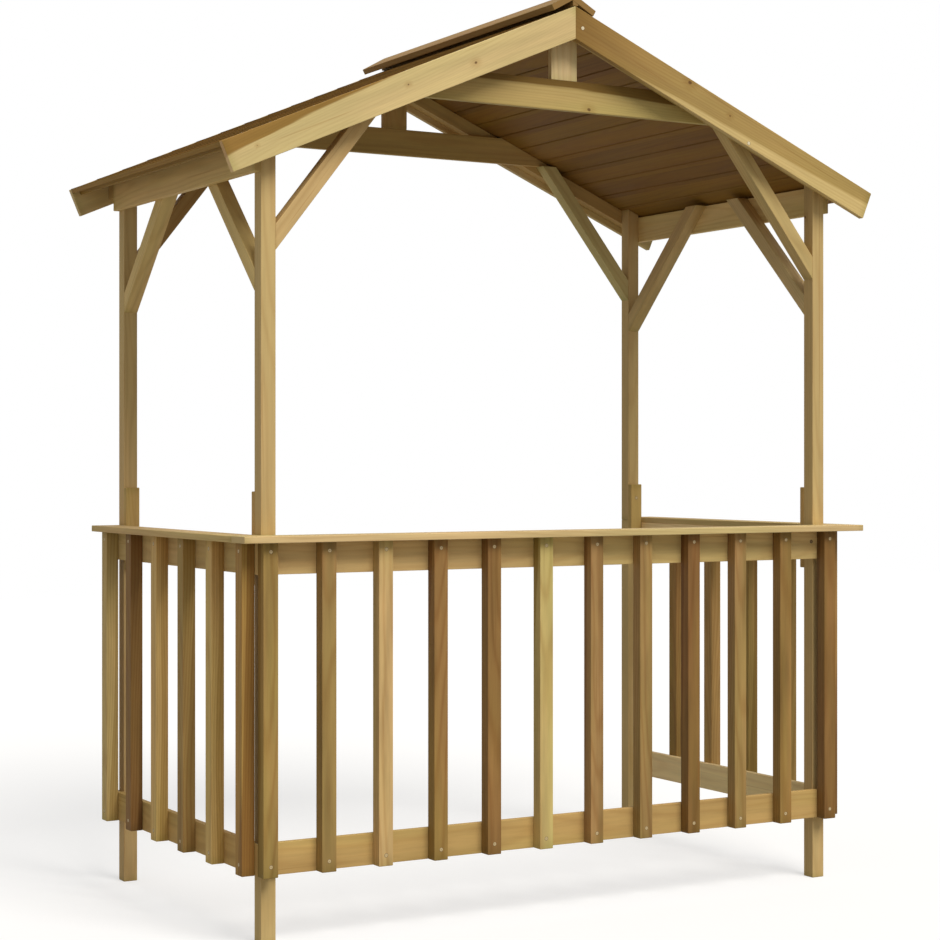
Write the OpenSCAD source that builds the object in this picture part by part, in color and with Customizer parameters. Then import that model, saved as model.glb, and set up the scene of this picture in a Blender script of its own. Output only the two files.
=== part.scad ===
// Barbecue shelter: open timber frame, slatted front and sides with a U-shaped
// counter, open back and a boarded gable roof. All sizes in millimetres.
// Frame: X runs along the counter front, front faces -Y, Z is up, ground at Z = 0.

/* [Stock] */
// Square stock of posts, knee braces and rafters
stock = 38; // [30:0.5:60]
// Thickness of every board
board_t = 16; // [10:0.5:30]
// Width of rails, eaves beams, collars, barge boards, counter and ridge boards
board_w = 76; // [60:1:120]

/* [Posts] */
// Distance between post centres along the front
post_span_x = 1644; // [1200:1:2400]
// Distance between post centres from front to back
post_span_y = 888; // [700:1:1400]
// Height of a splice cleat
cleat_h = 220; // [120:1:300]

/* [Panels] */
// Clear height under the bottom rails
panel_clear = 167; // [60:1:300]
// Height of the slatted panels, up to the underside of the counter
panel_h = 779; // [500:1:1000]
// Number of slats on the front
front_slats = 12; // [6:1:14]
// Setback of the last front slat from the right end of the rails
slat_setback = 15; // [0:1:60]
// Number of slats on each side
side_slats = 6; // [3:1:8]
// Width of a slat
slat_w = 38; // [25:0.5:60]
// Thickness of a slat
slat_t = 33; // [15:0.5:45]

/* [Counter] */
// How far the side counters run past the rear faces of the posts
counter_rear = 6; // [0:1:60]

/* [Roof] */
// Height of the posts at their outer face, up to the roof boards
post_h = 1896.5; // [1700:0.5:2200]
// Pitch of the roof slopes in degrees
pitch = 23.1; // [18:0.1:27]
// Overhang of the roof, from the post face to the top corner of the eave
eave_overhang = 123; // [80:1:250]
// Thickness of the roof boards
roof_t = 23; // [16:0.5:35]
// Thickness of the lip left along the rebated eave
lip_t = 12; // [6:0.5:14]
// How far the lip stands out past the rebate
lip = 16; // [4:1:30]

/* [Ridge] */
// How far the ridge board hangs below the apex
ridge_depth = 58; // [40:1:80]
// Pitch of the ridge caps in degrees
cap_pitch = 29.2; // [24:0.1:33]
// Width of the left ridge cap, which laps over the right one
cap_w_left = 82; // [60:1:110]
// Width of the right ridge cap
cap_w_right = 61; // [50:1:90]
// Clear gap between the lower edge of the right cap and the roof
cap_gap = 1.7; // [0.5:0.1:6]

/* [Roof frame] */
// Clear gap between an eaves beam and the roof boards
beam_gap = 0.5; // [0.2:0.1:5]
// From the roof boards at a post down to the foot of its gable brace
gable_brace_drop = 281.3; // [220:0.1:340]
// Slope of a gable brace in degrees
gable_brace_angle = 51.6; // [46:0.1:58]
// From the top of an eaves beam down to the foot of a side brace
side_brace_drop = 353.3; // [250:0.1:400]

/* [Hidden] */

px_in = post_span_x / 2 - stock / 2;     // inner face of the posts, X
px_out = post_span_x / 2 + stock / 2;    // outer face of the posts, X
py_in = post_span_y / 2 - stock / 2;     // inner face of the posts, Y
py_out = post_span_y / 2 + stock / 2;    // outer face of the posts, Y
rail_x = px_out + board_t;               // outer face of the side rails
rail_y = py_out + board_t;               // outer face of the front rails
counter_x = px_out + board_w;            // outer edge of the side counters
counter_y = py_out + board_w;            // outer edge of the front counter
counter_z = panel_clear + panel_h;       // underside of the counter
counter_top = counter_z + board_t;
splice_z = counter_z + board_t / 2;      // where lower and upper posts meet
front_pitch = (2 * rail_x - slat_w - slat_setback) / (front_slats - 1);
side_pitch = (2 * py_out - slat_w) / (side_slats - 1);
rafter_y = py_out + stock;               // outer face of the rafters
barge_y = rafter_y + board_t;            // outer face of the barge boards
y_mid = (counter_y - barge_y) / 2;       // puts the origin at the box centre
sp = sin(pitch);
cp = cos(pitch);
tp = sp / cp;
under_0 = post_h + tp * px_out;          // roof underside carried to X = 0
apex_z = under_0 + roof_t / cp;          // apex at the top of the boards
eave_x = px_out + eave_overhang;         // top corner of the eave
eave_z = apex_z - tp * eave_x;
ridge_half = board_t / 2;
ridge_base = apex_z - ridge_depth;       // bottom edge of the ridge board

function under(x) = under_0 - tp * x;    // roof underside above a given X
function top(x) = apex_z - tp * x;       // top of roof and barge boards
function barge_base(x) = top(x) - board_w / cp;
function rafter_base(x) = under(x) - stock / cp;

beam_top = under(rail_x) - beam_gap;
gb_rise = sin(gable_brace_angle) / cos(gable_brace_angle);
gb_lower = under(px_in) - gable_brace_drop;
gb_upper = gb_lower + stock / cos(gable_brace_angle);
sb_lower = beam_top - side_brace_drop;
sb_upper = sb_lower + stock * sqrt(2);

// outer corner of a gable brace, where its level top meets the roof
brace_tip = (gb_upper + gb_rise * px_in - under_0) / (gb_rise - tp);
brace_top = under(brace_tip);
brace_head = px_in - (brace_top - gb_lower) / gb_rise;
collar_top = brace_top + board_w;        // collars stand on the gable braces
collar_head = (under_0 - collar_top) / tp;

sc = sin(cap_pitch);
cc = cos(cap_pitch);
tc = sc / cc;
cap_x = cap_w_right * cc;                // lower inner corner of the right cap
cap_top = top(cap_x) + cap_gap + cap_w_right * sc + 2 * board_t * cc;
lap_x = board_t * sc;                    // where the left cap laps the right
lap_z = cap_top - board_t * cc;
joint_x = lap_x - board_t / (2 * sc);    // where the cap undersides meet
function left_under(x) = lap_z + tc * (x - lap_x);
function right_under(x) = left_under(joint_x) - tc * (x - joint_x);

light = [0.80, 0.69, 0.44];
tan_wood = [0.72, 0.58, 0.36];
brown = [0.55, 0.42, 0.25];

module centred() { translate([0, y_mid, 0]) children(); }

// box from two opposite corners
module span(a, b) {
    centred() translate([min(a[0], b[0]), min(a[1], b[1]), min(a[2], b[2])])
        cube([abs(b[0] - a[0]), abs(b[1] - a[1]), abs(b[2] - a[2])]);
}

// outline in X and Z carried along Y from y0 to y1
module along_y(points, y0, y1) {
    centred() translate([0, y1, 0]) rotate([90, 0, 0])
        linear_extrude(height = y1 - y0) polygon(points);
}

// outline in Y and Z carried along X from x0 to x1
module along_x(points, x0, x1) {
    centred() translate([x0, 0, 0]) rotate([90, 0, 90])
        linear_extrude(height = x1 - x0) polygon(points);
}

// points mirrored to the other side of the first axis when s is -1
function flip(points, s) = [for (p = points) [s * p[0], p[1]]];

module post_lower(sx, sy) {
    color(tan_wood)
        span([sx * px_in, sy * py_in, 0], [sx * px_out, sy * py_out, splice_z]);
}

module post_upper(sx, sy) {
    color(tan_wood)
        along_y(flip([[px_in, splice_z], [px_out, splice_z],
                      [px_out, under(px_out)], [px_in, under(px_in)]], sx),
                sy > 0 ? py_in : -py_out, sy > 0 ? py_out : -py_in);
}

module post_lower_front_left() { post_lower(-1, -1); }
module post_lower_front_right() { post_lower(1, -1); }
module post_lower_rear_left() { post_lower(-1, 1); }
module post_lower_rear_right() { post_lower(1, 1); }
module post_upper_front_left() { post_upper(-1, -1); }
module post_upper_front_right() { post_upper(1, -1); }
module post_upper_rear_left() { post_upper(-1, 1); }
module post_upper_rear_right() { post_upper(1, 1); }

// four cleats, one across each post joint on the inward face
module splice_cleats() {
    color(brown)
        for (sx = [-1, 1], sy = [-1, 1])
            span([sx * px_in, sy * (py_in - board_t), splice_z - cleat_h / 2],
                 [sx * px_out, sy * py_in, splice_z + cleat_h / 2]);
}

module rail_front(z) {
    color(tan_wood) span([-rail_x, -rail_y, z], [rail_x, -py_out, z + board_w]);
}

module rail_side(sx, z) {
    color(tan_wood)
        span([sx * px_out, -py_out, z], [sx * rail_x, py_out, z + board_w]);
}

module rail_front_top() { rail_front(counter_z - board_w); }
module rail_front_bottom() { rail_front(panel_clear); }
module rail_left_top() { rail_side(-1, counter_z - board_w); }
module rail_left_bottom() { rail_side(-1, panel_clear); }
module rail_right_top() { rail_side(1, counter_z - board_w); }
module rail_right_bottom() { rail_side(1, panel_clear); }

// front slats start flush with the left end of the rails
module slats_front() {
    color(brown)
        for (i = [0 : front_slats - 1])
            span([-rail_x + i * front_pitch, -rail_y - slat_t, panel_clear],
                 [-rail_x + i * front_pitch + slat_w, -rail_y, counter_z]);
}

module slats_side(sx) {
    color(brown)
        for (i = [0 : side_slats - 1])
            span([sx * rail_x, -py_out + i * side_pitch, panel_clear],
                 [sx * (rail_x + slat_t), -py_out + i * side_pitch + slat_w,
                  counter_z]);
}

module slats_left() { slats_side(-1); }
module slats_right() { slats_side(1); }

module counter_front() {
    color(light) span([-counter_x, -counter_y, counter_z],
                      [counter_x, -py_out, counter_top]);
}

module counter_side(sx) {
    color(light) span([sx * px_out, -py_out, counter_z],
                      [sx * counter_x, py_out + counter_rear, counter_top]);
}

module counter_left() { counter_side(-1); }
module counter_right() { counter_side(1); }

module eaves_beam(sx) {
    color(tan_wood)
        span([sx * px_out, -py_out, beam_top - board_w],
             [sx * rail_x, py_out, beam_top]);
}

module eaves_beam_left() { eaves_beam(-1); }
module eaves_beam_right() { eaves_beam(1); }

// brace in the plane of a gable, from post to roof, cut level on top
module gable_brace(sx, sy) {
    color(tan_wood)
        along_y(flip([[px_in, gb_lower], [px_in, gb_upper],
                      [brace_tip, brace_top], [brace_head, brace_top]], sx),
                sy > 0 ? py_in : -py_out, sy > 0 ? py_out : -py_in);
}

// brace from post up to the level of the eaves beam
module side_brace(sx, sy) {
    color(tan_wood)
        along_x(flip([[py_in, sb_lower], [py_in, sb_upper],
                      [py_in - (beam_top - sb_upper), beam_top],
                      [py_in - side_brace_drop, beam_top]], sy),
                sx > 0 ? px_in : -px_out, sx > 0 ? px_out : -px_in);
}

module gable_brace_front_left() { gable_brace(-1, -1); }
module gable_brace_front_right() { gable_brace(1, -1); }
module gable_brace_rear_left() { gable_brace(-1, 1); }
module gable_brace_rear_right() { gable_brace(1, 1); }
module side_brace_front_left() { side_brace(-1, -1); }
module side_brace_front_right() { side_brace(1, -1); }
module side_brace_rear_left() { side_brace(-1, 1); }
module side_brace_rear_right() { side_brace(1, 1); }

// tie laid across the tops of two gable braces, its ends cut to the roof
module collar(sy) {
    color(light)
        along_y([[-brace_tip, brace_top], [brace_tip, brace_top],
                 [collar_head, collar_top], [-collar_head, collar_top]],
                sy > 0 ? py_out - board_t : -py_out,
                sy > 0 ? py_out : -py_out + board_t);
}

module collar_front() { collar(-1); }
module collar_rear() { collar(1); }

// short board from collar to ridge, notched round the ridge board
module king_post(sy) {
    hw = board_w / 2;
    color(light)
        along_y([[-hw, collar_top], [hw, collar_top], [hw, under(hw)],
                 [ridge_half, under(ridge_half)], [ridge_half, ridge_base],
                 [-ridge_half, ridge_base], [-ridge_half, under(ridge_half)],
                 [-hw, under(hw)]],
                sy > 0 ? py_out - board_t : -py_out,
                sy > 0 ? py_out : -py_out + board_t);
}

module king_post_front() { king_post(-1); }
module king_post_rear() { king_post(1); }

// four rafters just inside the barge boards, plumb cut over the eaves beams
module roof_rafters() {
    pts = [[ridge_half, under(ridge_half)], [rail_x, under(rail_x)],
           [rail_x, rafter_base(rail_x)], [ridge_half, rafter_base(ridge_half)]];
    color(brown)
        for (sx = [-1, 1], sy = [-1, 1])
            along_y(flip(pts, sx), sy > 0 ? py_out : -rafter_y,
                    sy > 0 ? rafter_y : -py_out);
}

module barge(sx, sy) {
    color(light)
        along_y(flip([[0, apex_z], [eave_x, eave_z],
                      [eave_x - board_w * sp, eave_z - board_w * cp],
                      [0, barge_base(0)]], sx),
                sy > 0 ? rafter_y : -barge_y, sy > 0 ? barge_y : -rafter_y);
}

module barge_front_left() { barge(-1, -1); }
module barge_front_right() { barge(1, -1); }
module barge_rear_left() { barge(-1, 1); }
module barge_rear_right() { barge(1, 1); }

// boarding of one slope, rebated along the eave
module roof_slope(sx) {
    color(brown)
        along_y(flip([[ridge_half, top(ridge_half)], [eave_x, eave_z],
                      [eave_x - lip_t * sp, eave_z - lip_t * cp],
                      [eave_x - lip_t * sp - lip * cp,
                       eave_z - lip_t * cp + lip * sp],
                      [eave_x - roof_t * sp - lip * cp,
                       eave_z - roof_t * cp + lip * sp],
                      [ridge_half, under(ridge_half)]], sx),
                -rafter_y, rafter_y);
}

module roof_left() { roof_slope(-1); }
module roof_right() { roof_slope(1); }

// board on edge between the slopes, its top shaped to the caps
module ridge_board() {
    head = concat([[ridge_half, right_under(ridge_half)]],
                  joint_x > -ridge_half
                      ? [[joint_x, right_under(joint_x)],
                         [-ridge_half, left_under(-ridge_half)]]
                      : [[-ridge_half, right_under(-ridge_half)]]);
    color(brown) union() {
        along_y(concat([[-ridge_half, ridge_base], [ridge_half, ridge_base]],
                       head), -rafter_y, rafter_y);
        along_y(concat([[-ridge_half, apex_z], [ridge_half, apex_z]], head),
                -barge_y, barge_y);
    }
}

module ridge_cap_left() {
    x = cap_w_left * cc;
    z = cap_top - cap_w_left * sc;
    color(brown)
        along_y([[0, cap_top], [lap_x, lap_z],
                 [lap_x - x, z - board_t * cc], [-x, z]], -barge_y, barge_y);
}

module ridge_cap_right() {
    color(brown)
        along_y([[lap_x, lap_z], [lap_x + cap_x, lap_z - cap_w_right * sc],
                 [cap_x, right_under(cap_x)], [joint_x, right_under(joint_x)]],
                -barge_y, barge_y);
}

post_lower_front_left();
post_lower_front_right();
post_lower_rear_left();
post_lower_rear_right();
post_upper_front_left();
post_upper_front_right();
post_upper_rear_left();
post_upper_rear_right();
splice_cleats();
rail_front_top();
rail_front_bottom();
rail_left_top();
rail_left_bottom();
rail_right_top();
rail_right_bottom();
slats_front();
slats_left();
slats_right();
counter_front();
counter_left();
counter_right();
eaves_beam_left();
eaves_beam_right();
gable_brace_front_left();
gable_brace_front_right();
gable_brace_rear_left();
gable_brace_rear_right();
side_brace_front_left();
side_brace_front_right();
side_brace_rear_left();
side_brace_rear_right();
collar_front();
collar_rear();
king_post_front();
king_post_rear();
roof_rafters();
barge_front_left();
barge_front_right();
barge_rear_left();
barge_rear_right();
roof_left();
roof_right();
ridge_board();
ridge_cap_left();
ridge_cap_right();
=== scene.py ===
"""Looks of the timber barbecue shelter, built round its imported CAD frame.

Every CAD node keeps its shape and gets softened arrises and a timber material whose grain runs
along the member. The two roof sheets are replaced by rebated boards, and the screws are added.
"""

import math
import random

import bmesh
import bpy
from mathutils import Matrix, Vector


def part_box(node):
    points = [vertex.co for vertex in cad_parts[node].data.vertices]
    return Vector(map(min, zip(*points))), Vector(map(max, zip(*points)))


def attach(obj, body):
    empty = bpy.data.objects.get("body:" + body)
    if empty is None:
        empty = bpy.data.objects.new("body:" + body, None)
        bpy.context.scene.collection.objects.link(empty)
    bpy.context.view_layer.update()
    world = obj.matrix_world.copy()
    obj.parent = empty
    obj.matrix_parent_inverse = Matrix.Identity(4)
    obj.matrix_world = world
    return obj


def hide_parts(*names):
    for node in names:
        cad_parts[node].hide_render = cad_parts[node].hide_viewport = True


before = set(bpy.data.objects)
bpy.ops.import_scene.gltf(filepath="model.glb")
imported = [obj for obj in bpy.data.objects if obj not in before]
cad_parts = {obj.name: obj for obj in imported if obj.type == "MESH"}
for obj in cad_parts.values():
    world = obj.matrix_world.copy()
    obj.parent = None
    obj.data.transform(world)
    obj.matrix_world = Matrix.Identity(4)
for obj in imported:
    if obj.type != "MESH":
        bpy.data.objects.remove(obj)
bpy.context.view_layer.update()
rng = random.Random(7)

MM = 0.001
SLAT_WIDTH = 38.0 * MM
CORNERS = ("front_left", "front_right", "rear_left", "rear_right")


# ---------------------------------------------------------------- camera, light and floor

def make_camera():
    """The photograph's view: a level camera in front and to the left."""
    data = bpy.data.cameras.new("camera")
    data.sensor_width = 36.0
    data.lens = 81.65
    data.shift_y = -0.0096
    data.clip_start = 0.05
    data.clip_end = 200.0
    camera = bpy.data.objects.new("camera", data)
    camera.location = (-2.9173, -5.0118, 1.1359)
    camera.rotation_euler = (math.radians(90.0), 0.0, math.radians(-30.08))
    bpy.context.scene.collection.objects.link(camera)
    bpy.context.scene.camera = camera


def make_sun(name, toward, strength, spread, colour):
    """A distant lamp that shines toward a direction, its disc spread degrees wide."""
    data = bpy.data.lights.new(name, "SUN")
    data.energy = strength
    data.angle = math.radians(spread)
    data.color = colour
    lamp = bpy.data.objects.new(name, data)
    lamp.rotation_euler = Vector(toward).to_track_quat("-Z", "Y").to_euler()
    bpy.context.scene.collection.objects.link(lamp)


def seen_rays(tree):
    """1 for camera, glossy and transmission rays, 0 for the rays that only light the object."""
    path = tree.nodes.new("ShaderNodeLightPath")
    seen = path.outputs["Is Camera Ray"]
    for other in ("Is Glossy Ray", "Is Transmission Ray"):
        both = tree.nodes.new("ShaderNodeMath")
        both.operation = "MAXIMUM"
        tree.links.new(seen, both.inputs[0])
        tree.links.new(path.outputs[other], both.inputs[1])
        seen = both.outputs[0]
    return seen


def make_world(fill):
    """A white backdrop. fill is the strength at which it lights the object."""
    world = bpy.data.worlds.new("studio")
    bpy.context.scene.world = world
    world.use_nodes = True
    tree = world.node_tree
    tree.nodes.clear()
    out = tree.nodes.new("ShaderNodeOutputWorld")
    mix = tree.nodes.new("ShaderNodeMixShader")
    lights = tree.nodes.new("ShaderNodeBackground")
    lights.inputs["Color"].default_value = (1.0, 0.985, 0.96, 1.0)
    lights.inputs["Strength"].default_value = fill
    white = tree.nodes.new("ShaderNodeBackground")
    white.inputs["Color"].default_value = (1.0, 1.0, 1.0, 1.0)
    white.inputs["Strength"].default_value = 1.0
    tree.links.new(seen_rays(tree), mix.inputs["Fac"])
    tree.links.new(lights.outputs[0], mix.inputs[1])
    tree.links.new(white.outputs[0], mix.inputs[2])
    tree.links.new(mix.outputs[0], out.inputs["Surface"])


def make_floor(size):
    """A pale floor that keeps the object's shadow and looks almost white in the picture."""
    mesh = bpy.data.meshes.new("floor")
    half = size / 2.0
    corners = [(-half, -half, 0.0), (half, -half, 0.0), (half, half, 0.0), (-half, half, 0.0)]
    mesh.from_pydata(corners, [], [(0, 1, 2, 3)])
    floor = bpy.data.objects.new("floor", mesh)
    bpy.context.scene.collection.objects.link(floor)
    material = bpy.data.materials.new("floor")
    material.use_nodes = True
    tree = material.node_tree
    tree.nodes.clear()
    out = tree.nodes.new("ShaderNodeOutputMaterial")
    mix = tree.nodes.new("ShaderNodeMixShader")
    plain = tree.nodes.new("ShaderNodeBsdfDiffuse")
    plain.inputs["Color"].default_value = (0.38, 0.375, 0.36, 1.0)
    shown = tree.nodes.new("ShaderNodeBsdfDiffuse")
    shown.inputs["Color"].default_value = (0.50, 0.50, 0.50, 1.0)
    glow = tree.nodes.new("ShaderNodeEmission")
    glow.inputs["Color"].default_value = (1.0, 1.0, 1.0, 1.0)
    glow.inputs["Strength"].default_value = 0.55
    both = tree.nodes.new("ShaderNodeAddShader")
    tree.links.new(shown.outputs[0], both.inputs[0])
    tree.links.new(glow.outputs[0], both.inputs[1])
    tree.links.new(seen_rays(tree), mix.inputs["Fac"])
    tree.links.new(plain.outputs[0], mix.inputs[1])
    tree.links.new(both.outputs[0], mix.inputs[2])
    tree.links.new(mix.outputs[0], out.inputs["Surface"])
    mesh.materials.append(material)


# ---------------------------------------------------------------- timber shader

def srgb(red, green, blue):
    """A linear colour from display values of 0 to 255."""
    return tuple(((v / 255.0 + 0.055) / 1.055) ** 2.4 for v in (red, green, blue)) + (1.0,)


class Nodes:
    """Short calls for the shader nodes that the timber needs."""

    def __init__(self, tree):
        self.tree = tree

    def put(self, value, socket):
        if isinstance(value, bpy.types.NodeSocket):
            self.tree.links.new(value, socket)
        elif value is not None:
            socket.default_value = value

    def math(self, operation, a, b=None, c=None):
        node = self.tree.nodes.new("ShaderNodeMath")
        node.operation = operation
        for value, socket in zip((a, b, c), node.inputs):
            self.put(value, socket)
        return node.outputs[0]

    def vector(self, operation, a, b=None):
        node = self.tree.nodes.new("ShaderNodeVectorMath")
        node.operation = operation
        self.put(a, node.inputs[0])
        if operation == "SCALE":
            self.put(b, node.inputs["Scale"])
        else:
            self.put(b, node.inputs[1])
        return node.outputs["Value" if operation in ("DOT_PRODUCT", "LENGTH") else "Vector"]

    def split(self, vector):
        node = self.tree.nodes.new("ShaderNodeSeparateXYZ")
        self.put(vector, node.inputs[0])
        return node.outputs

    def join(self, x, y, z):
        node = self.tree.nodes.new("ShaderNodeCombineXYZ")
        for value, socket in zip((x, y, z), node.inputs):
            self.put(value, socket)
        return node.outputs[0]

    def noise(self, vector, detail=2.0, roughness=0.5):
        node = self.tree.nodes.new("ShaderNodeTexNoise")
        self.put(vector, node.inputs["Vector"])
        node.inputs["Scale"].default_value = 1.0
        node.inputs["Detail"].default_value = detail
        node.inputs["Roughness"].default_value = roughness
        return node.outputs

    def streaks(self, place, along, across, detail=2.0, roughness=0.5):
        """Noise drawn out along the grain, in waves to a metre along it and across it."""
        return self.noise(self.vector("MULTIPLY", place, (along, across, across)), detail, roughness)

    def swing(self, noise, amount, base):
        """base, moved by amount times the noise's distance from its middle."""
        return self.math("MULTIPLY_ADD", self.math("SUBTRACT", noise, 0.5), amount, base)

    def ease(self, value, low, high):
        """0 at low and 1 at high, with a soft start and end."""
        node = self.tree.nodes.new("ShaderNodeMapRange")
        node.interpolation_type = "SMOOTHSTEP"
        for item, name in ((value, "Value"), (low, "From Min"), (high, "From Max")):
            self.put(item, node.inputs[name])
        return node.outputs[0]

    def blend(self, factor, a, b, kind="MIX"):
        node = self.tree.nodes.new("ShaderNodeMix")
        node.data_type = "RGBA"
        node.blend_type = kind
        self.put(factor, node.inputs[0])
        self.put(a, node.inputs[6])
        self.put(b, node.inputs[7])
        return node.outputs[2]

    def tinted(self, colour, tint):
        return self.blend(1.0, colour, tint, "MULTIPLY")


GROUP_INPUTS = (
    ("Place", "NodeSocketVector"), ("Half", "NodeSocketVector"), ("Seed", "NodeSocketVector"),
    ("End", "NodeSocketFloat"), ("Sap", "NodeSocketColor"), ("Heart", "NodeSocketColor"),
    ("Pith", "NodeSocketVector"), ("Core", "NodeSocketFloat"), ("Taper", "NodeSocketFloat"),
    ("Rings", "NodeSocketFloat"), ("Knots", "NodeSocketFloat"), ("Mottle", "NodeSocketFloat"),
    ("Fade", "NodeSocketFloat"), ("Fibre", "NodeSocketFloat"), ("Cut", "NodeSocketColor"),
    ("Knot A", "NodeSocketVector"), ("Knot B", "NodeSocketVector"), ("Knot C", "NodeSocketVector"),
)
GROUP_OUTPUTS = (
    ("Color", "NodeSocketColor"), ("Rough", "NodeSocketFloat"), ("Height", "NodeSocketFloat"),
)
KNOT_INPUTS = ("Knot A", "Knot B", "Knot C")
NO_KNOT = (9.0, 9.0, 1.0 * MM)      # far off the member
SEED_STEP = (1.37, 0.71, 0.39)      # from one solid of a row to the next
SEED_SPREAD = 9.0                   # metres that a unit of seed moves the noise
PITH_WANDER = 45.0 * MM
KNOT_CELLS = 5.0                    # chances of a knot in each metre, along and round
KNOT_LEAST = 2.5 * MM               # size of the smallest
KNOT_SPAN = 4.5 * MM                # how much larger the largest is
KNOT_WOOD = srgb(92, 60, 30)
RING_PHASE = 900.0                  # radians for each metre from the pith, so a ring every 7 mm
BUMP_DEPTH = 0.6 * MM

# tints that the wood's colour is multiplied by
GREENISH = (0.92, 1.02, 0.82, 1.0)
REDDISH = (1.06, 0.985, 0.96, 1.0)
STAINED = (0.50, 0.40, 0.24, 1.0)
LATE_WOOD = (0.66, 0.50, 0.36, 1.0)
WORN = (1.16, 1.14, 1.16, 1.0)
SOAKED = (0.72, 0.76, 0.62, 1.0)

# tints of the end grain
SAWN = (0.98, 0.94, 0.94, 1.0)
# end grain darkened with painted shade, for ends in the shade under the barge boards and roof
SAWN_IN_PAINTED_SHADE = (0.66, 0.60, 0.52, 1.0)
SAWN_PALE = (1.28, 1.12, 1.20, 1.0)


def pith_place(n, given, place, far):
    """A point's radius from the wandering pith, and its arc round it."""
    wander = n.streaks(far, 1.3, 7.0, detail=1.0)["Color"]
    wander = n.vector("SCALE", n.vector("SUBTRACT", wander, (0.5, 0.5, 0.5)), PITH_WANDER)
    off = n.split(n.vector("SUBTRACT", n.vector("ADD", place, wander), given["Pith"]))
    radius = n.vector("LENGTH", n.join(0.0, off["Y"], off["Z"]))
    radius = n.math("MULTIPLY_ADD", n.split(place)["X"], given["Taper"], radius)
    angle = n.math("ARCTAN2", off["Z"], off["Y"])
    return radius, n.math("MULTIPLY", angle, radius)


def knot_spot(n, away, size, outer, inner):
    """A knot of a size round the place where away is 0, and the halo of bent grain round it."""
    knot = n.ease(away, n.math("MULTIPLY", size, outer), n.math("MULTIPLY", size, inner))
    halo = n.ease(away, n.math("MULTIPLY", size, 5.0), size)
    return knot, halo


def chance_knots(n, given, far, arc):
    """Knots run out from the pith, so chance places them by length and arc."""
    length = n.math("MULTIPLY", n.split(far)["X"], KNOT_CELLS)
    cells = n.tree.nodes.new("ShaderNodeTexVoronoi")
    cells.inputs["Scale"].default_value = 1.0
    n.put(n.join(length, n.math("MULTIPLY", arc, KNOT_CELLS), n.split(given["Seed"])["Z"]),
          cells.inputs["Vector"])
    lot = n.split(cells.outputs["Color"])
    spare = n.math("GREATER_THAN", lot["X"], given["Knots"])
    away = n.math("ADD", n.math("DIVIDE", cells.outputs["Distance"], KNOT_CELLS), spare)
    size = n.math("MULTIPLY_ADD", lot["Y"], KNOT_SPAN, KNOT_LEAST)
    return knot_spot(n, away, size, 1.15, 0.7)


def placed_knot(n, spot, place, far):
    """A knot with a place of its own: along, across and radius."""
    beside = n.split(n.vector("SUBTRACT", place, spot))
    away = n.vector("LENGTH", n.join(n.math("MULTIPLY", beside["X"], 0.75), beside["Y"], 0.0))
    ragged = n.noise(n.vector("SCALE", far, 260.0), 1.0)["Fac"]
    away = n.math("MULTIPLY_ADD", ragged, 2.0 * MM, away)
    size = n.math("ADD", n.split(spot)["Z"], 1.0 * MM)
    return knot_spot(n, away, size, 1.2, 0.75)


def late_wood(n, given, radius, ringed):
    """The darker, later part of each growth ring."""
    spacing = n.noise(n.join(0.0, n.math("MULTIPLY", radius, 30.0), 3.0), 0.0)["Fac"]
    phase = n.math("MULTIPLY", ringed, RING_PHASE)
    phase = n.math("MULTIPLY_ADD", spacing, 9.0, phase)
    late = n.math("MULTIPLY_ADD", n.math("SINE", phase), 0.5, 0.5)
    late = n.math("POWER", late, 2.5)
    late = n.math("MULTIPLY", late, given["Rings"])
    return n.math("MULTIPLY", late, n.math("MULTIPLY_ADD", given["End"], -0.6, 1.0))


def plain_wood(n, given, far, ringed, streak, fibre):
    """Heartwood inside and sapwood outside, with slow changes of tone, streaks and fibres."""
    heart = n.math("SUBTRACT", given["Core"], ringed)
    heart = n.ease(n.swing(streak, 14.0 * MM, heart), -3.0 * MM, 3.5 * MM)
    colour = n.blend(heart, given["Sap"], given["Heart"])
    elsewhere = n.vector("ADD", far, (3.1, 1.7, 5.3))
    hue = n.streaks(elsewhere, 1.1, 9.0)["Fac"]
    tint = n.blend(n.ease(hue, 0.36, 0.64), GREENISH, REDDISH)
    colour = n.blend(n.math("MULTIPLY", given["Mottle"], 1.3), colour, tint, "MULTIPLY")
    tone = n.streaks(far, 2.2, 18.0, detail=4.0, roughness=0.62)["Fac"]
    tone = n.math("MULTIPLY", n.math("SUBTRACT", tone, 0.5), given["Mottle"])
    light = n.math("MULTIPLY_ADD", tone, 2.0, 1.0)
    light = n.swing(streak, 0.24, light)
    depth = n.math("MULTIPLY_ADD", given["End"], -0.12, 0.16)
    light = n.swing(fibre, depth, light)
    return n.vector("SCALE", colour, light)


def figured(n, given, colour, place, far, late, knot, halo):
    """Adds the stain of the first end, the late wood, the knots and the drying checks."""
    start = n.math("MINIMUM", n.math("ADD", n.split(place)["X"], 100.0 * MM), 0.0)
    stain = n.math("MULTIPLY", n.math("MULTIPLY", start, given["Fade"]), -2.3)
    colour = n.blend(stain, colour, n.tinted(colour, STAINED))
    brown = n.tinted(colour, LATE_WOOD)
    colour = n.blend(late, colour, brown)
    colour = n.blend(n.math("MULTIPLY", halo, 0.35), colour, brown)
    colour = n.blend(n.math("MULTIPLY", knot, 0.8), colour, KNOT_WOOD)
    check = n.streaks(far, 2.2, 150.0, detail=1.0)["Fac"]
    check = n.math("MULTIPLY", n.ease(check, 0.69, 0.74), n.math("SUBTRACT", 1.0, given["End"]))
    return n.blend(n.math("MULTIPLY", check, 0.4), colour, brown)


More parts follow.
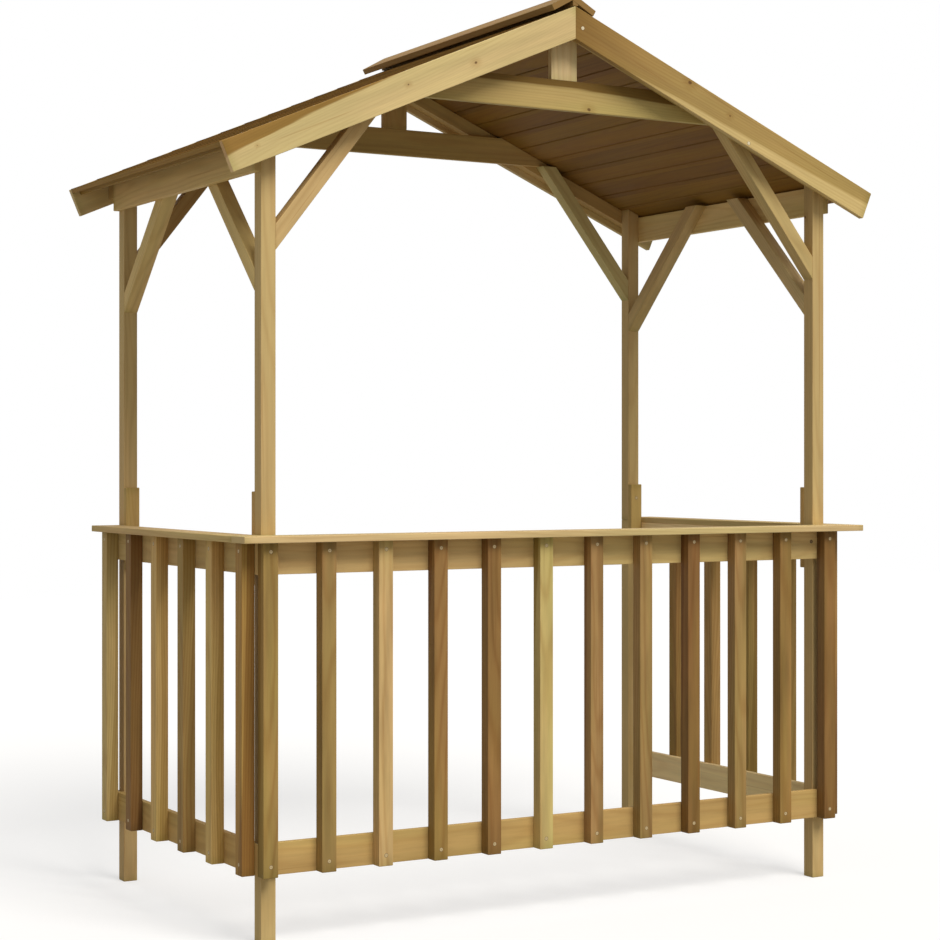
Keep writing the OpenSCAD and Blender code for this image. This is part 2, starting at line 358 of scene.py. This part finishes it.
def weathered_rim(n, given, colour, place, streak):
    """Gives the end grain a tone of its own, dulls the soaked ends and pales the worn arrises."""
    pale = n.tinted(colour, WORN)
    ends = n.tinted(n.blend(0.6, colour, given["Sap"]), given["Cut"])
    colour = n.blend(n.math("MULTIPLY", given["End"], 0.85), colour, ends)
    reach = n.split(n.vector("SUBTRACT", given["Half"], n.vector("ABSOLUTE", place)))
    soak = n.math("MULTIPLY_ADD", given["Mottle"], 30.0 * MM, 6.0 * MM)
    soaked = n.ease(n.math("MULTIPLY_ADD", streak, -20.0 * MM, reach["X"]), soak, -12.0 * MM)
    soaked = n.math("MULTIPLY", soaked, n.math("MULTIPLY_ADD", given["End"], -0.4, 0.6))
    colour = n.blend(soaked, colour, n.tinted(colour, SOAKED))
    edge = n.math("MULTIPLY_ADD", streak, 3.0 * MM, n.math("ADD", reach["Y"], reach["Z"]))
    worn = n.ease(edge, 4.2 * MM, 1.8 * MM)
    return n.blend(n.math("MULTIPLY", worn, 0.5), colour, pale)


def timber_group():
    """Sawn softwood. Place is (along the grain, across, through) from the middle of the member."""
    tree = bpy.data.node_groups.new("timber", "ShaderNodeTree")
    for name, kind in GROUP_INPUTS:
        tree.interface.new_socket(name=name, in_out="INPUT", socket_type=kind)
    for name, kind in GROUP_OUTPUTS:
        tree.interface.new_socket(name=name, in_out="OUTPUT", socket_type=kind)
    given = tree.nodes.new("NodeGroupInput").outputs
    out = tree.nodes.new("NodeGroupOutput").inputs
    n = Nodes(tree)

    place = given["Place"]
    far = n.vector("ADD", place, n.vector("SCALE", given["Seed"], SEED_SPREAD))
    streak = n.streaks(far, 3.0, 90.0)["Fac"]
    fibre = n.swing(n.streaks(far, 16.0, 620.0, roughness=0.6)["Fac"], given["Fibre"], 0.5)
    radius, arc = pith_place(n, given, place, far)
    knot, halo = chance_knots(n, given, far, arc)
    for name in KNOT_INPUTS:
        one, around = placed_knot(n, given[name], place, far)
        knot = n.math("MAXIMUM", knot, one)
        halo = n.math("MAXIMUM", halo, around)

    # the rings ripple, and bend round the knots
    ripple = n.streaks(far, 6.0, 40.0)["Fac"]
    ringed = n.math("MULTIPLY_ADD", ripple, 4.0 * MM, radius)
    ringed = n.math("MULTIPLY_ADD", halo, 6.0 * MM, ringed)
    late = late_wood(n, given, radius, ringed)

    colour = plain_wood(n, given, far, ringed, streak, fibre)
    colour = figured(n, given, colour, place, far, late, knot, halo)
    colour = weathered_rim(n, given, colour, place, streak)
    rough = n.math("MULTIPLY_ADD", fibre, 0.22, 0.56)
    rough = n.math("MULTIPLY_ADD", late, -0.10, rough)
    height = n.math("MULTIPLY_ADD", fibre, 0.55, n.math("MULTIPLY", late, 0.7))
    height = n.math("MULTIPLY_ADD", knot, 0.6, height)
    n.put(colour, out["Color"])
    n.put(rough, out["Rough"])
    n.put(height, out["Height"])
    return tree


TIMBER = timber_group()

# colours of the sapwood and of the heartwood of one piece, from pale to dark
IVORY = (srgb(244, 219, 164), srgb(222, 190, 134))
CREAM = (srgb(226, 201, 152), srgb(200, 168, 118))
BUFF = (srgb(232, 204, 142), srgb(208, 175, 112))
STRAW = (srgb(217, 192, 138), srgb(157, 120, 61))
FLAX = (srgb(222, 191, 130), srgb(198, 162, 100))
SAND = (srgb(213, 187, 136), srgb(196, 167, 114))
AMBER = (srgb(214, 186, 128), srgb(180, 150, 92))
REED = (srgb(204, 188, 130), srgb(180, 160, 106))
MAIZE = (srgb(214, 180, 116), srgb(192, 157, 94))
PALE = (srgb(203, 174, 120), srgb(186, 153, 100))
SEDGE = (srgb(202, 177, 117), srgb(181, 153, 94))
GREEN = (srgb(194, 174, 114), srgb(162, 136, 78))
MOSS = (srgb(190, 166, 106), srgb(122, 94, 42))
HONEY = (srgb(194, 162, 102), srgb(174, 138, 82))
WHEAT = (srgb(175, 143, 88), srgb(155, 124, 73))
AUTUMN = (srgb(176, 139, 78), srgb(146, 108, 55))
TAN = (srgb(166, 134, 86), srgb(142, 108, 64))
OLIVE = (srgb(167, 136, 82), srgb(142, 112, 60))
BROWN = (srgb(156, 122, 72), srgb(130, 96, 54))
RUSSET = (srgb(152, 115, 69), srgb(126, 90, 50))
TAWNY = (srgb(154, 118, 54), srgb(130, 96, 40))
UMBER = (srgb(140, 105, 61), srgb(116, 84, 46))
DARK = (srgb(136, 99, 38), srgb(112, 80, 30))
LOAM = (srgb(127, 95, 50), srgb(108, 80, 42))
BARK = (srgb(118, 88, 48), srgb(102, 75, 40))
SABLE = (srgb(124, 89, 36), srgb(104, 74, 29))


def facing(mesh, keep):
    """The member's grain, across and through directions, from the areas of its faces."""
    areas = {}
    for face in mesh.polygons:
        if keep(face.center):
            normal = face.normal.copy()
            lead = max(normal, key=abs)
            normal = normal if lead > 0 else -normal
            key = tuple(round(v, 2) + 0.0 for v in normal)
            area, _ = areas.get(key, (0.0, None))
            areas[key] = (area + face.area, normal)
    ranked = sorted(areas.values(), key=lambda item: -item[0])
    through = ranked[0][1].normalized()
    side = next(normal for _, normal in ranked[1:] if abs(normal.dot(through)) < 0.3)
    grain = through.cross(side).normalized()
    return grain, through.cross(grain).normalized(), through


def one_of_many(n, place, seed, fold, along):
    """The same place on the first of several solids, their own seeds, and their count in a row."""
    seeds = n.join(*seed)
    count = None
    if fold:
        moved = n.vector("SUBTRACT", place, fold)
        seeds = n.vector("ADD", seeds, n.vector("SIGN", moved))
        place = n.vector("ADD", n.vector("ABSOLUTE", moved), fold)
    if along:
        axis, first, pitch = along
        count = n.math("SUBTRACT", n.vector("DOT_PRODUCT", place, axis), first)
        count = n.math("FLOOR", n.math("DIVIDE", count, pitch))
        step = n.vector("SCALE", tuple(v * pitch for v in axis), count)
        place = n.vector("SUBTRACT", place, step)
        seeds = n.vector("ADD", seeds, n.vector("SCALE", SEED_STEP, count))
    return place, seeds, count


def tone_in_row(n, count, tones, index):
    """The sapwood's or the heartwood's colour of each solid of a row."""
    ramp = n.tree.nodes.new("ShaderNodeValToRGB")
    ramp.color_ramp.interpolation = "CONSTANT"
    n.put(n.math("DIVIDE", n.math("ADD", count, 0.5), float(len(tones))), ramp.inputs["Fac"])
    stops = ramp.color_ramp.elements
    while len(stops) < len(tones):
        stops.new(0.5)
    for number, tone in enumerate(tones):
        stops[number].position = number / len(tones)
        stops[number].color = tone[index]
    return ramp.outputs["Color"]


def surface(n, group, relief, gloss):
    """The shader that takes the timber group's colour, roughness and height."""
    shader = n.tree.nodes.new("ShaderNodeBsdfPrincipled")
    shader.inputs["Specular IOR Level"].default_value = gloss
    bump = n.tree.nodes.new("ShaderNodeBump")
    bump.inputs["Strength"].default_value = relief
    bump.inputs["Distance"].default_value = BUMP_DEPTH
    n.put(group.outputs["Height"], bump.inputs["Height"])
    n.put(group.outputs["Color"], shader.inputs["Base Color"])
    n.put(group.outputs["Rough"], shader.inputs["Roughness"])
    n.put(bump.outputs[0], shader.inputs["Normal"])
    out = n.tree.nodes.new("ShaderNodeOutputMaterial")
    n.put(shader.outputs[0], out.inputs["Surface"])


def timber(name, tones, frame_of, along=None, fold=None, pith=None, core=0.0, taper=0.02,
           rings=0.22, knots=0.12, mottle=0.30, fade=0.0, fibre=1.0, cut=SAWN, spots=(),
           relief=0.35, gloss=0.16):
    """A timber material. fold is the middle of mirrored solids, along is a row of like solids.

    tones is one colour pair, or one for each solid of a row. The heartwood lies within core of
    the pith, and its edge nears the pith along the grain by taper. spots are knots, as (along,
    across, radius). fade stains the first end of the member, and cut tints its end grain.
    relief is the strength of the bump, and gloss the specular level.
    """
    grain, across, through, middle, half = frame_of
    material = bpy.data.materials.new("timber_" + name)
    material.use_nodes = True
    tree = material.node_tree
    tree.nodes.clear()
    n = Nodes(tree)
    where = tree.nodes.new("ShaderNodeTexCoord")
    seed = Vector([rng.uniform(0.0, 9.0) for _ in range(3)])
    place, seeds, count = one_of_many(n, where.outputs["Object"], seed, fold, along)
    place = n.vector("SUBTRACT", place, tuple(middle))
    axes = [n.vector("DOT_PRODUCT", place, tuple(axis)) for axis in (grain, across, through)]
    normal = n.vector("DOT_PRODUCT", where.outputs["Normal"], tuple(grain))
    end = n.ease(n.math("ABSOLUTE", normal), 0.55, 0.85)

    group = tree.nodes.new("ShaderNodeGroup")
    group.node_tree = TIMBER
    given = group.inputs
    n.put(n.join(*axes), given["Place"])
    n.put(seeds, given["Seed"])
    n.put(end, given["End"])
    pith = pith or (0.0, seed.x * 0.004 - 0.018, 0.03 + seed.y * 0.004)
    knots_at = tuple(spots) + (NO_KNOT,) * (len(KNOT_INPUTS) - len(spots))
    for label, value in (("Half", half), ("Pith", pith), ("Core", core), ("Taper", taper),
                         ("Rings", rings), ("Knots", knots), ("Mottle", mottle), ("Fade", fade),
                         ("Fibre", fibre), ("Cut", cut), *zip(KNOT_INPUTS, knots_at)):
        given[label].default_value = value
    if along:
        sway = n.math("SINE", n.math("MULTIPLY_ADD", count, 2.4, seed.z))
        n.put(n.join(0.0, n.math("MULTIPLY_ADD", sway, 0.02, pith[1]), pith[2]), given["Pith"])
        n.put(tone_in_row(n, count, tones, 0), given["Sap"])
        n.put(tone_in_row(n, count, tones, 1), given["Heart"])
    else:
        given["Sap"].default_value, given["Heart"].default_value = tones
    surface(n, group, relief, gloss)
    return material


def member_frame(mesh, keep):
    """Directions, middle and half sizes of the solid whose points pass keep."""
    grain, across, through = facing(mesh, keep)
    points = [v.co for v in mesh.vertices if keep(v.co)]
    middle = Vector()
    half = []
    for axis in (grain, across, through):
        reach = [p.dot(axis) for p in points]
        middle += axis * (max(reach) + min(reach)) / 2.0
        half.append((max(reach) - min(reach)) / 2.0)
    return grain, across, through, middle, half


def soften(piece, width):
    """Rounds the arrises of a piece to a width in metres."""
    weld = piece.modifiers.new("weld", "WELD")
    weld.merge_threshold = 0.02 * MM
    bevel = piece.modifiers.new("arris", "BEVEL")
    bevel.width = width
    bevel.segments = 2
    bevel.limit_method = "ANGLE"
    bevel.angle_limit = math.radians(25.0)


def dress(node, tones, keep=lambda point: True, **more):
    """A CAD node in a timber of its own. keep picks the points of one of its solids."""
    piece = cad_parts[node]
    material = timber(node, tones, frame_of=member_frame(piece.data, keep), **more)
    piece.data.materials.clear()
    piece.data.materials.append(material)
    soften(piece, 1.6 * MM)


CENTRE_Y = (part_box("roof_rafters")[0][1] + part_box("roof_rafters")[1][1]) / 2.0
MIRROR = (0.0, CENTRE_Y, 0.0)


def rear_right(point):
    """Keeps one of four solids that mirror each other."""
    return point.x > 0.0 and point.y > CENTRE_Y


def dress_frame():
    """Posts, braces, cleats, beams, rails and counter."""
    for place, tones in zip(CORNERS, (PALE, PALE, WHEAT, REED)):
        dress("post_lower_" + place, PALE, mottle=0.2)
        dress("post_upper_" + place, PALE, mottle=0.2)
        dress("gable_brace_" + place, tones)
    for place, tones in zip(CORNERS, (FLAX, SAND, FLAX, PALE)):
        dress("side_brace_" + place, tones)
    dress("splice_cleats", HONEY, fold=MIRROR, keep=rear_right)
    for side, tones in (("left", FLAX), ("right", BUFF)):
        # the beam ends get painted shade for the shade under the barge boards and roof
        dress("eaves_beam_" + side, tones, cut=SAWN_IN_PAINTED_SHADE)
    for name in ("rail_front_bottom", "rail_left_bottom"):
        dress(name, HONEY)
    dress("rail_left_top", PALE)
    dress("rail_front_top", FLAX)
    dress("rail_right_top", IVORY)
    dress("rail_right_bottom", IVORY, mottle=0.15)
    dress("counter_front", SAND, mottle=0.4)
    for name in ("counter_left", "counter_right"):
        dress(name, PALE, mottle=0.4)


def dress_roof_frame():
    """Barge boards, collars, king posts, rafters and ridge."""
    dress("barge_front_left", STRAW, pith=(0.0, -0.070, 0.003), core=0.033, taper=0.093, rings=0.14,
          knots=0.0, cut=SAWN_PALE,
          spots=((-0.010, -0.005, 0.0018), (0.190, 0.004, 0.003), (-0.444, 0.001, 0.0010)))
    dress("barge_front_right", AMBER, pith=(0.0, -0.080, 0.003), core=0.106, taper=0.047, knots=0.0,
          fade=0.9, spots=((-0.136, -0.028, 0.0045), (0.013, -0.009, 0.0022)))
    for side in ("left", "right"):
        dress("barge_rear_" + side, STRAW)
    # the collar's dark upper heartwood band is partly heartwood and partly painted shadow of the
    # front barge board
    dress("collar_front", MOSS, pith=(0.0, -0.070, 0.003), core=0.062, taper=-0.014, knots=0.0,
          fade=0.25, spots=((0.075, 0.030, 0.004),))
    dress("collar_rear", HONEY)
    dress("king_post_front", CREAM)
    dress("king_post_rear", HONEY)
    dress("roof_rafters", HONEY, fold=MIRROR, keep=rear_right)
    for name in ("ridge_board", "ridge_cap_left", "ridge_cap_right"):
        dress(name, BROWN)


# slats from left to right, and from front to rear
FRONT_SLATS = (OLIVE, TAN, PALE, BROWN, RUSSET, GREEN, TAN, TAN, UMBER, TAN, BROWN, UMBER)
LEFT_SLATS = (AUTUMN, MAIZE, WHEAT, MAIZE, UMBER, SEDGE)
RIGHT_SLATS = (BROWN, OLIVE, OLIVE, WHEAT, BROWN, TAN)

# each panel's slats, the axis of their row, their outward direction and their mottle
PANELS = (
    ("front", FRONT_SLATS, 0, (0.0, -1.0, 0.0), 0.60),
    ("left", LEFT_SLATS, 1, (-1.0, 0.0, 0.0), 0.35),
    ("right", RIGHT_SLATS, 1, (1.0, 0.0, 0.0), 0.60),
)


def slat_pitch(node, index, count):
    """From one slat of a row to the next, along the axis of that index."""
    low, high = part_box(node)
    return (high[index] - low[index] - SLAT_WIDTH) / (count - 1)


def dress_slats(node, index, tones, mottle):
    """A panel's row of slats, each in a tone of its own."""
    axis = tuple(float(i == index) for i in range(3))
    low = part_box(node)[0][index]
    pitch = slat_pitch(node, index, len(tones))
    first = low - (pitch - SLAT_WIDTH) / 2.0
    end = low + SLAT_WIDTH + MM
    dress(node, tones, along=(axis, first, pitch), core=0.040, rings=0.40, mottle=mottle,
          keep=lambda point: point[index] < end)


# ---------------------------------------------------------------- roof boards

COVER = 79.2 * MM       # of one board, down the slope
LAP = 20.0 * MM         # of its foot over the next board
THICK = 23.0 * MM
LIP = 11.5 * MM         # thickness of the lapping foot
SEAM = 1.4 * MM         # gap between two boards
NICK = 2.2 * MM         # chamfer beside a seam underneath
STEP = 1.0 * MM         # rise of a board's foot above the slope
SINK = 0.9 * MM         # fall of its head below the slope
SLACK = 0.5 * MM        # play in the lap, and slant of the step


def new_piece(name, bm, materials):
    """A rigid piece of the scene, made of the bmesh, in the given materials."""
    mesh = bpy.data.meshes.new(name)
    bmesh.ops.recalc_face_normals(bm, faces=bm.faces)
    bm.to_mesh(mesh)
    bm.free()
    for material in materials:
        mesh.materials.append(material)
    piece = bpy.data.objects.new(name, mesh)
    bpy.context.scene.collection.objects.link(piece)
    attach(piece, "root")
    return piece


def prism(bm, outline, y0, y1, weathered):
    """A solid of a closed outline in X and Z, its last weathered sides in the second material."""
    near = [bm.verts.new((x, y0, z)) for x, z in outline]
    far = [bm.verts.new((x, y1, z)) for x, z in outline]
    bm.faces.new(near)
    bm.faces.new(far[::-1])
    count = len(outline)
    for i in range(count):
        j = (i + 1) % count
        face = bm.faces.new((near[i], far[i], far[j], near[j]))
        face.material_index = 1 if i >= count - weathered else 0


class Slope:
    """One side of the roof, in distance down the slope and depth under its top."""

    def __init__(self, side, node):
        low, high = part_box(node)
        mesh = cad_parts[node].data
        normal = max(mesh.polygons, key=lambda face: face.area).normal
        pitch = math.atan2(abs(normal.x), abs(normal.z))
        self.side = side
        self.node = node
        self.cos = math.cos(pitch)
        self.sin = math.sin(pitch)
        self.tan = math.tan(pitch)
        self.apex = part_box("barge_front_right")[1][2]
        self.head = min(abs(low[0]), abs(high[0])) / self.cos
        self.foot = max(abs(low[0]), abs(high[0])) / self.cos
        self.ends = (low[1], high[1])

    def point(self, s, d):
        """X and Z at a distance down the slope and a depth."""
        x = s * self.cos - d * self.sin
        z = self.apex - s * self.sin - d * self.cos
        return self.side * x, z

    def feet(self):
        """The lower edges of the boards, from the eave up."""
        foot = self.foot
        while foot > self.head + LAP:
            yield foot
            foot -= COVER


def board_outline(slope, foot):
    """A rebated board's section. Its last two sides are its top and the step at its foot."""
    head = foot - COVER
    lower = [(foot, 0.0), (foot, LIP), (foot - LAP, LIP), (foot - LAP, THICK - NICK),
             (foot - LAP - NICK, THICK)]
    if head - LAP > slope.head:
        inner = head - LAP + SEAM
        upper = [(inner + NICK, THICK), (inner, THICK - NICK), (inner, LIP + SLACK),
                 (head - SEAM, LIP + SLACK), (head - SEAM, SINK)]
    else:
        upper = [(slope.head + THICK * slope.tan, THICK), (slope.head, SINK)]
    nose = [(foot - SLACK, -STEP)]
    return [slope.point(s, d) for s, d in lower + upper + nose]


def roof_boards(slope, name, eave_tone):
    """Rebated boards of one slope, each lapping over the next one down."""
    bm = bmesh.new()
    for foot in slope.feet():
        prism(bm, board_outline(slope, foot), *slope.ends, weathered=2)
    down = Vector((slope.side * slope.cos, 0.0, -slope.sin))
    through = Vector((slope.side * slope.sin, 0.0, slope.cos))
    grain = Vector((0.0, 1.0, 0.0))
    x, z = slope.point(slope.foot - COVER / 2.0, THICK / 2.0)
    middle = Vector((x, CENTRE_Y, z))
    half = (0.5, COVER / 2.0 + LAP, THICK / 2.0)
    row_of = (tuple(-down), middle.dot(-down) - COVER / 2.0, COVER)
    boards = {"frame_of": (grain, down, through, middle, half), "along": row_of, "mottle": 0.3}
    sawn = timber(name, [eave_tone] + [DARK, DARK, SABLE, DARK, SABLE] * 3, rings=0.3, knots=0.35,
                  fibre=0.3, relief=0.10, **boards)
    weathered = timber(name + "_top", [LOAM, BARK, BARK, LOAM] * 4, rings=0.04, knots=0.1,
                       fibre=0.2, relief=0.0, gloss=0.0, **boards)
    piece = new_piece(name, bm, [sawn, weathered])
    soften(piece, 0.7 * MM)
    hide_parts(slope.node)


def roof_nails(slope):
    """Two nails in each board over each rafter."""
    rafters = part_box("roof_rafters")
    inset = 19.0 * MM
    out = (slope.side * slope.sin, 0.0, slope.cos)
    nails = []
    for foot in slope.feet():
        for s in (foot - 17.0 * MM, foot - COVER + 12.0 * MM):
            x, z = slope.point(s, 0.0)
            for y in (rafters[0][1] + inset, rafters[1][1] - inset):
                jog = rng.uniform(-2.0, 2.0) * MM
                nails.append(((x, y + jog, z), out))
    return nails


# ---------------------------------------------------------------- screws

def metal(name, colour, rough, metallic):
    """Worn plating, or without metallic the fibres that a head has pressed, their dark tone partly
    painted shade.
    """
    material = bpy.data.materials.new(name)
    material.use_nodes = True
    tree = material.node_tree
    shader = tree.nodes["Principled BSDF"]
    shader.inputs["Metallic"].default_value = metallic
    n = Nodes(tree)
    where = tree.nodes.new("ShaderNodeTexCoord").outputs["Object"]
    spots = n.noise(n.vector("SCALE", where, 900.0), 3.0)["Fac"]
    worn = n.blend(n.ease(spots, 0.35, 0.65), colour, tuple(v * 0.72 for v in colour[:3]) + (1.0,))
    n.put(worn, shader.inputs["Base Color"])
    n.put(n.math("MULTIPLY_ADD", spots, 0.2, rough), shader.inputs["Roughness"])
    return material


ZINC = metal("zinc_plate", srgb(206, 184, 138), 0.50, 0.30)
BRIGHT = metal("bright_zinc", srgb(238, 224, 190), 0.45, 0.40)
DULL = metal("dull_zinc", srgb(128, 104, 68), 0.60, 0.30)
# dark rim round the screw heads: pressed fibres and painted shade
PRESSED_AND_SHADED = metal("pressed_fibres_and_shade", srgb(104, 76, 42), 0.7, 0.0)


def rounds(bm, matrix, rings, spokes):
    """Rings of points about a local Z axis, skinned and closed by the last ring.

    Each ring is a radius for every angle, in metres, and a height in millimetres.
    """
    loops = []
    for reach, rise in rings:
        loop = []
        for i in range(spokes):
            angle = 2.0 * math.pi * i / spokes
            r = reach(angle)
            local = Vector((r * math.cos(angle), r * math.sin(angle), rise * MM))
            loop.append(bm.verts.new(matrix @ local))
        loops.append(loop)
    faces = []
    for inner, outer in zip(loops[1:], loops):
        for i in range(spokes):
            j = (i + 1) % spokes
            faces.append(bm.faces.new((outer[i], outer[j], inner[j], inner[i])))
    bm.faces.new(loops[-1])
    return faces


def seat(place, out, turn):
    """The matrix of a head that lies on a surface."""
    axes = Vector(out).normalized().to_track_quat("Z", "Y").to_matrix().to_4x4()
    return Matrix.Translation(Vector(place)) @ axes @ Matrix.Rotation(turn, 4, "Z")


def screw_head(bm, place, out, turn):
    """A countersunk head with a cross recess, in a rim of pressed fibres whose dark colour is partly
    painted shade.
    """
    radius = 4.2 * MM

    def cross(angle):
        lobe = abs(math.cos(2.0 * angle)) ** 3.0
        return radius * (0.12 + 0.34 * lobe)

    rings = ((lambda a: radius * 1.25, -0.4), (lambda a: radius * 1.20, 0.03),
             (lambda a: radius * 1.02, 0.08), (lambda a: radius, 0.14),
             (lambda a: radius * 0.9, 0.2), (cross, 0.2), (lambda a: cross(a) * 0.75, -0.25))
    spokes = 32
    faces = rounds(bm, seat(place, out, turn), rings, spokes)
    for face in faces[:2 * spokes]:
        face.material_index = 1


def nail_head(bm, place, out, turn):
    """A flat clout head, its edge a little worn."""
    radius = 3.3 * MM
    rings = ((lambda a: radius, -0.5), (lambda a: radius, 0.15), (lambda a: radius * 0.82, 0.3))
    rounds(bm, seat(place, out, turn), rings, 20)


def add_screws(name, spots, head=screw_head, plating=ZINC):
    """One piece of a head on each spot, which is a place and an outward direction."""
    bm = bmesh.new()
    for place, out in spots:
        head(bm, place, out, rng.uniform(0.0, math.pi))
    return new_piece(name, bm, [plating, PRESSED_AND_SHADED])


def slat_screws(node, index, out, count):
    """One screw near the top and one near the bottom of each slat."""
    low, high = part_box(node)
    pitch = slat_pitch(node, index, count)
    face = high if sum(out) > 0 else low
    depth = 1 - index
    spots = []
    for i in range(count):
        for z in (high[2] - 21.0 * MM, low[2] + 26.0 * MM):
            jog = rng.uniform(-1.0, 1.0) * MM
            place = [0.0, 0.0, z]
            place[index] = low[index] + i * pitch + SLAT_WIDTH / 2.0 + jog
            place[depth] = face[depth]
            spots.append((place, out))
    return spots


def barge_screws(front):
    """Screws that hold the barge boards to the rafters, in front only seen on the right.

    Each lies at x out from the ridge, and at a drop below the board's upper edge.
    """
    low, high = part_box("barge_front_right")
    rear_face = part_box("barge_rear_right")[1][1]
    fall = (high[2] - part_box("roof_right")[1][2]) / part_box("roof_right")[0][0]
    sunk = 0.15 * MM
    face = low[1] if front else rear_face - sunk
    out = (0.0, -1.0 if front else 1.0, 0.0)
    spots = []
    for side in ((1.0,) if front else (-1.0, 1.0)):
        for x, drop in ((21.0 * MM, 45.0 * MM), (544.0 * MM, 73.0 * MM)):
            spots.append(((side * x, face, high[2] - fall * x - drop), out))
    return spots


def row(first, last, count):
    """Evenly spaced values, from first to last."""
    return [first + (last - first) * i / (count - 1) for i in range(count)]


def counter_screws():
    """Screws down through the counter boards into the top rails."""
    margin = 45.0 * MM
    spots = []
    for side in ("front", "left", "right"):
        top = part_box("counter_" + side)[1][2]
        rail_low, rail_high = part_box(f"rail_{side}_top")
        along = 0 if side == "front" else 1
        middle = (rail_low[1 - along] + rail_high[1 - along]) / 2.0
        count = 5 if side == "front" else 3
        for reach in row(rail_low[along] + margin, rail_high[along] - margin, count):
            place = [middle, middle, top]
            place[along] = reach
            spots.append((place, (0.0, 0.0, 1.0)))
    return spots


def rail_screws():
    """The screw beside the last slat of the front panel."""
    low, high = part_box("rail_front_top")
    x = 785.0 * MM
    z = low[2] + 0.62 * (high[2] - low[2])
    return [((x, low[1], z), (0.0, -1.0, 0.0))]


def cleat_screws():
    """Two screws down the middle of each splice cleat but the rear left one, which shows none."""
    margin = 42.0 * MM
    low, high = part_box("splice_cleats")
    board_low, board_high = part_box("counter_front")
    thick = board_high[2] - board_low[2]
    spots = []
    for place in ("front_left", "front_right", "rear_right"):
        post_low, post_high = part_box("post_lower_" + place)
        x = (post_low[0] + post_high[0]) / 2.0
        inward = -1.0 if place.startswith("rear") else 1.0
        face = (post_low[1] if inward < 0.0 else post_high[1]) + inward * thick
        for z in (high[2] - margin, low[2] + margin):
            spots.append(((x, face, z), (0.0, inward, 0.0)))
    return spots


make_camera()
make_world(fill=0.40)
make_sun("key", toward=(-0.08, 0.65, -0.755), strength=2.4, spread=34.0, colour=(1.0, 0.97, 0.92))
make_floor(size=24.0)
dress_frame()
dress_roof_frame()
for panel, tones, index, _, mottle in PANELS:
    dress_slats("slats_" + panel, index, tones, mottle)
nails = []
for side, hand, tone in ((-1.0, "left", TAWNY), (1.0, "right", DARK)):
    slope = Slope(side, "roof_" + hand)
    roof_boards(slope, "roof_boards_" + hand, tone)
    nails += roof_nails(slope)
for panel, tones, index, out, _ in PANELS:
    heads = slat_screws("slats_" + panel, index, out, len(tones))
    add_screws("screws_" + panel, heads)
add_screws("screws_barge", barge_screws(True) + barge_screws(False), plating=BRIGHT)
add_screws("screws_counter", counter_screws())
add_screws("screws_rail", rail_screws(), plating=DULL)
add_screws("screws_cleats", cleat_screws())
add_screws("nails_roof", nails, nail_head, plating=DULL)

scene = bpy.context.scene
scene.view_settings.view_transform = "Standard"
bpy.context.view_layer.update()
